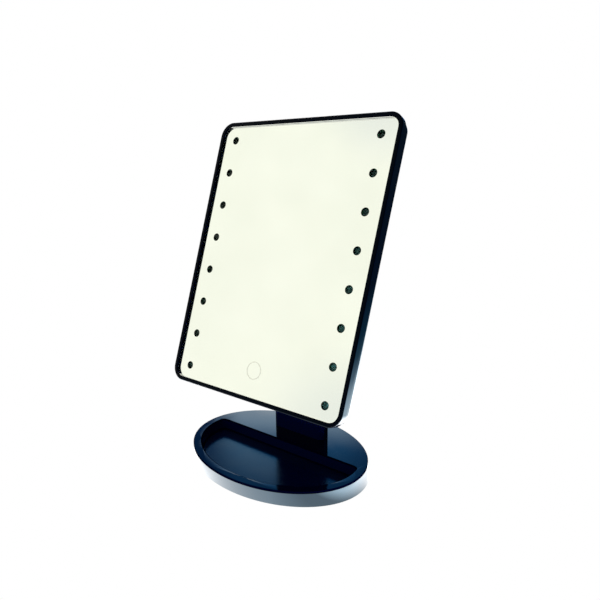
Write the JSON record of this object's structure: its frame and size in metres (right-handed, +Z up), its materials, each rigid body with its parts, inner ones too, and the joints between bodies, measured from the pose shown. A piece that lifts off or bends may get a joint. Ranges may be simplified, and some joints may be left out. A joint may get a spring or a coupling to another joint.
{
  "type": "lighted vanity mirror",
  "caption": "Rectangular makeup mirror with LED windows down both sides, tilting on a flat neck over an oval tray base.",
  "frame": {"origin": "on the table, under the centre of the base", "axes": "+Z up, +X along the mirror's width, the mirror faces -Y"},
  "size_m": [0.1686, 0.119, 0.2728],
  "materials": {
    "gloss_black": "polished",
    "matt_black": "fine texture",
    "glass": "polished",
    "mirror": "silvered",
    "tape": "foam",
    "board": "solder mask",
    "led": "phosphor",
    "copper": "bare",
    "steel": "zinc plated",
    "cell": "printed film",
    "foot": "moulded"
  },
  "bodies": {
    "stand": {"base_tray": "gloss_black", "base_band": "gloss_black", "base_plate": "matt_black", "base_weight": "steel", "neck_body": "gloss_black", "neck_back": "gloss_black", "neck_screw_left": "steel", "neck_screw_right": "steel", "friction_sleeve_left": "copper", "friction_sleeve_right": "copper", "foot_1": "foot", "foot_2": "foot", "foot_3": "foot", "foot_4": "foot"},
    "mirror_head": {"front_frame": "gloss_black", "back_cover": "gloss_black", "hinge_cap_left": "gloss_black", "hinge_cap_right": "gloss_black", "mirror_support": "matt_black", "switch_body": "matt_black", "hinge_bracket": "matt_black", "mirror_glass": "glass", "mirror_coating": "mirror", "mirror_tape": "tape", "led_strip_left": "board", "led_strip_right": "board", "control_board": "board", "led_left_1": "led", "led_left_2": "led", "led_left_3": "led", "led_left_4": "led", "led_left_5": "led", "led_left_6": "led", "led_left_7": "led", "led_left_8": "led", "led_right_1": "led", "led_right_2": "led", "led_right_3": "led", "led_right_4": "led", "led_right_5": "led", "led_right_6": "led", "led_right_7": "led", "led_right_8": "led", "touch_electrode": "copper", "hinge_shaft": "steel", "hinge_nut": "steel", "bracket_screw_left": "steel", "bracket_screw_right": "steel", "battery_contact_upper": "steel", "battery_contact_lower": "steel", "cover_screw_1": "steel", "cover_screw_2": "steel", "cover_screw_3": "steel", "cover_screw_4": "steel", "battery_1": "cell", "battery_2": "cell", "battery_3": "cell", "battery_4": "cell"},
    "battery_door": {"battery_door": "gloss_black"},
    "switch_slider": {"switch_slider": "matt_black"}
  },
  "joints": [
    {"name": "head_tilt", "type": "hinge", "parent": "stand", "child": "mirror_head", "pos_m": [0, 0.0329, 0.1581], "axis": [-1, 0, 0], "range_deg": [-25, 160]},
    {"name": "battery_door_slide", "type": "slide", "parent": "mirror_head", "child": "battery_door", "axis": [0, 0.3463, 0.9381], "range_m": [0, 0.04]},
    {"name": "power_switch_slide", "type": "slide", "parent": "mirror_head", "child": "switch_slider", "axis": [0, 0.3463, 0.9381], "range_m": [0, 0.004]}
  ]
}
